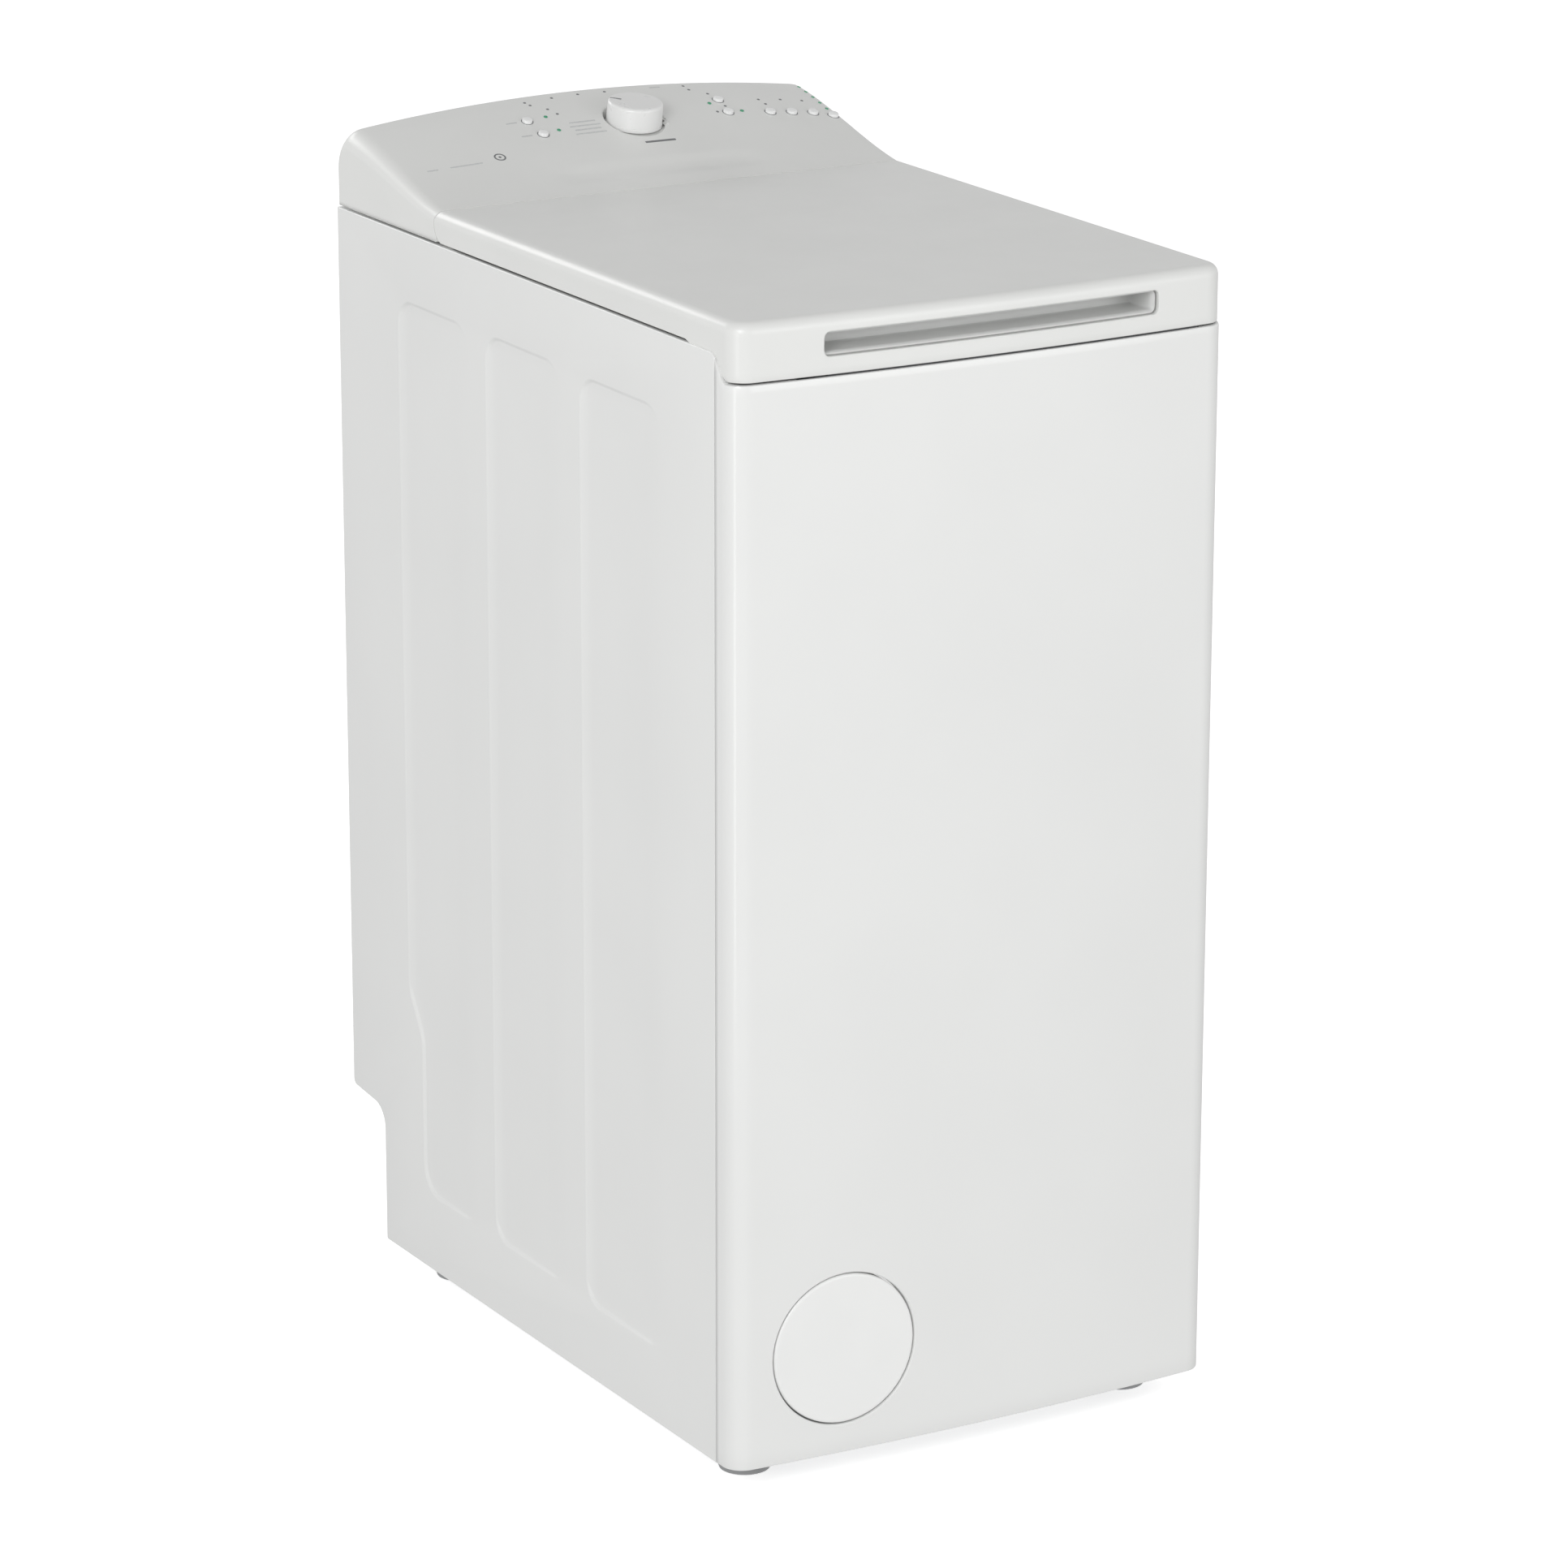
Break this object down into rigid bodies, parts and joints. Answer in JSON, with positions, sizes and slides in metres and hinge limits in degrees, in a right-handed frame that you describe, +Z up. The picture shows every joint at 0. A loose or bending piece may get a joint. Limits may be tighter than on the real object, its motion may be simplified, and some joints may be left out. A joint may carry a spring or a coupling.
{
  "type": "top load washing machine",
  "caption": "Slim white top load washing machine with a hinged lid, sloping control console, knob and buttons, round filter cover and a drum turning in a sprung tub.",
  "frame": {"origin": "on the floor, under the middle of the cabinet", "axes": "+X towards the machine's right side, +Y towards its rear, +Z up"},
  "size_m": [0.4, 0.6, 0.9],
  "materials": {
    "enamel": "gloss white baked enamel",
    "white_plastic": "satin gloss white",
    "grey_plastic": "light grey",
    "dark_plastic": "black",
    "galvanised": "galvanised",
    "bearing_steel": "ground",
    "cast_alloy": "cast",
    "stainless": "polished stainless",
    "black_rubber": "matt",
    "tub_plastic": "moulded",
    "concrete": "cast, rough",
    "board": "lacquered circuit board",
    "motor": "black"
  },
  "bodies": {
    "cabinet": {"side_panel_left": "enamel", "side_panel_right": "enamel", "front_panel": "enamel", "rear_panel": "galvanised", "base_frame": "galvanised", "worktop_frame": "white_plastic", "console_housing": "white_plastic", "top_frame": "galvanised", "inlet_valve": "grey_plastic", "drain_outlet": "grey_plastic", "cable_gland": "dark_plastic", "lid_lock": "dark_plastic", "pump_body": "grey_plastic", "control_board": "board", "damper_cylinder_front": "dark_plastic", "damper_cylinder_rear": "dark_plastic", "load_gasket": "black_rubber", "sump_hose": "black_rubber", "spring_front_left": "galvanised", "spring_front_right": "galvanised", "spring_rear_left": "galvanised", "spring_rear_right": "galvanised"},
    "lid": {"lid_shell": "white_plastic", "lid_liner": "white_plastic", "dispenser_tray": "grey_plastic"},
    "tub": {"tub_half_left": "tub_plastic", "tub_half_right": "tub_plastic", "bearing_left": "bearing_steel", "bearing_right": "bearing_steel", "counterweight_front": "concrete", "counterweight_rear": "concrete", "heater": "stainless", "motor_body": "motor", "drive_belt": "black_rubber", "damper_rod_front": "galvanised", "damper_rod_rear": "galvanised"},
    "drum": {"drum_shell": "stainless", "drum_end_left": "stainless", "drum_end_right": "stainless", "drum_paddle_front": "grey_plastic", "drum_paddle_rear": "grey_plastic", "drum_pulley": "cast_alloy"},
    "flap_front": {"drum_flap_front": "stainless"},
    "flap_rear": {"drum_flap_rear": "stainless"},
    "motor_rotor": {"motor_pulley": "stainless"},
    "knob": {"program_knob": "white_plastic"},
    "filter_door": {"filter_cover": "white_plastic"},
    "filter_plug": {"filter_cap": "dark_plastic"},
    "foot_front_left": {"foot_front_left": "dark_plastic"},
    "foot_front_right": {"foot_front_right": "dark_plastic"},
    "foot_rear_left": {"foot_rear_left": "dark_plastic"},
    "foot_rear_right": {"foot_rear_right": "dark_plastic"},
    "button_1": {"button_1": "white_plastic"},
    "button_2": {"button_2": "white_plastic"},
    "button_3": {"button_3": "white_plastic"},
    "button_4": {"button_4": "white_plastic"},
    "button_5": {"button_5": "white_plastic"},
    "button_6": {"button_6": "white_plastic"},
    "button_7": {"button_7": "white_plastic"},
    "button_8": {"button_8": "white_plastic"}
  },
  "joints": [
    {"name": "lid_hinge", "type": "hinge", "parent": "cabinet", "child": "lid", "pos_m": [0, 0.131, 0.841], "axis": [-1, 0, 0], "range_deg": [0, 78]},
    {"name": "knob_turn", "type": "hinge", "parent": "cabinet", "child": "knob", "pos_m": [0.018, 0.236, 0.87773], "axis": [0, -0.1736, 0.9848], "continuous": true},
    {"name": "button_1_press", "type": "slide", "parent": "cabinet", "child": "button_1", "axis": [0, 0.309, -0.9511], "range_m": [0, 0.0014], "stiffness_N_per_m": 500, "springref_m": -0.001},
    {"name": "button_2_press", "type": "slide", "parent": "cabinet", "child": "button_2", "axis": [0, 0.309, -0.9511], "range_m": [0, 0.0014], "stiffness_N_per_m": 500, "springref_m": -0.001},
    {"name": "button_3_press", "type": "slide", "parent": "cabinet", "child": "button_3", "axis": [0, 0.309, -0.9511], "range_m": [0, 0.0014], "stiffness_N_per_m": 500, "springref_m": -0.001},
    {"name": "button_4_press", "type": "slide", "parent": "cabinet", "child": "button_4", "axis": [0, 0.309, -0.9511], "range_m": [0, 0.0014], "stiffness_N_per_m": 500, "springref_m": -0.001},
    {"name": "button_5_press", "type": "slide", "parent": "cabinet", "child": "button_5", "axis": [0, 0.309, -0.9511], "range_m": [0, 0.0014], "stiffness_N_per_m": 500, "springref_m": -0.001},
    {"name": "button_6_press", "type": "slide", "parent": "cabinet", "child": "button_6", "axis": [0, 0.309, -0.9511], "range_m": [0, 0.0014], "stiffness_N_per_m": 500, "springref_m": -0.001},
    {"name": "button_7_press", "type": "slide", "parent": "cabinet", "child": "button_7", "axis": [0, 0.309, -0.9511], "range_m": [0, 0.0014], "stiffness_N_per_m": 500, "springref_m": -0.001},
    {"name": "button_8_press", "type": "slide", "parent": "cabinet", "child": "button_8", "axis": [0, 0.309, -0.9511], "range_m": [0, 0.0014], "stiffness_N_per_m": 500, "springref_m": -0.001},
    {"name": "foot_front_left_turn", "type": "hinge", "parent": "cabinet", "child": "foot_front_left", "pos_m": [-0.16, -0.24, 0.02], "axis": [0, 0, 1], "continuous": true},
    {"name": "foot_front_right_turn", "type": "hinge", "parent": "cabinet", "child": "foot_front_right", "pos_m": [0.16, -0.24, 0.02], "axis": [0, 0, 1], "continuous": true},
    {"name": "foot_rear_left_turn", "type": "hinge", "parent": "cabinet", "child": "foot_rear_left", "pos_m": [-0.16, 0.2, 0.02], "axis": [0, 0, 1], "continuous": true},
    {"name": "foot_rear_right_turn", "type": "hinge", "parent": "cabinet", "child": "foot_rear_right", "pos_m": [0.16, 0.2, 0.02], "axis": [0, 0, 1], "continuous": true},
    {"name": "filter_cover_pull", "type": "slide", "parent": "cabinet", "child": "filter_door", "axis": [0, -1, 0], "range_m": [0, 0.06]},
    {"name": "filter_cap_turn", "type": "hinge", "parent": "cabinet", "child": "filter_plug", "pos_m": [-0.111, -0.258, 0.1], "axis": [0, -1, 0], "range_deg": [0, 180]},
    {"name": "tub_bounce", "type": "slide", "parent": "cabinet", "child": "tub", "axis": [0, 0, 1], "range_m": [-0.012, 0.008], "stiffness_N_per_m": 24000, "springref_m": 0.01685, "deforming": ["spring_front_left", "spring_front_right", "spring_rear_left", "spring_rear_right", "load_gasket", "sump_hose"]},
    {"name": "drum_spin", "type": "hinge", "parent": "tub", "child": "drum", "pos_m": [0, -0.01, 0.48], "axis": [1, 0, 0], "continuous": true},
    {"name": "motor_spin", "type": "hinge", "parent": "tub", "child": "motor_rotor", "pos_m": [0, 0.155, 0.14], "axis": [1, 0, 0], "continuous": true},
    {"name": "flap_front_swing", "type": "hinge", "parent": "drum", "child": "flap_front", "pos_m": [0, -0.1132, 0.6878], "axis": [-1, 0, 0], "range_deg": [0, 85], "stiffness_Nm_per_rad": 0.08, "springref_deg": -171.89},
    {"name": "flap_rear_swing", "type": "hinge", "parent": "drum", "child": "flap_rear", "pos_m": [0, 0.0932, 0.6878], "axis": [1, 0, 0], "range_deg": [0, 85], "stiffness_Nm_per_rad": 0.08, "springref_deg": -171.89}
  ],
  "couplings": [
    {"joint": "motor_spin", "follows": "drum_spin", "ratio": 10.909}
  ]
}
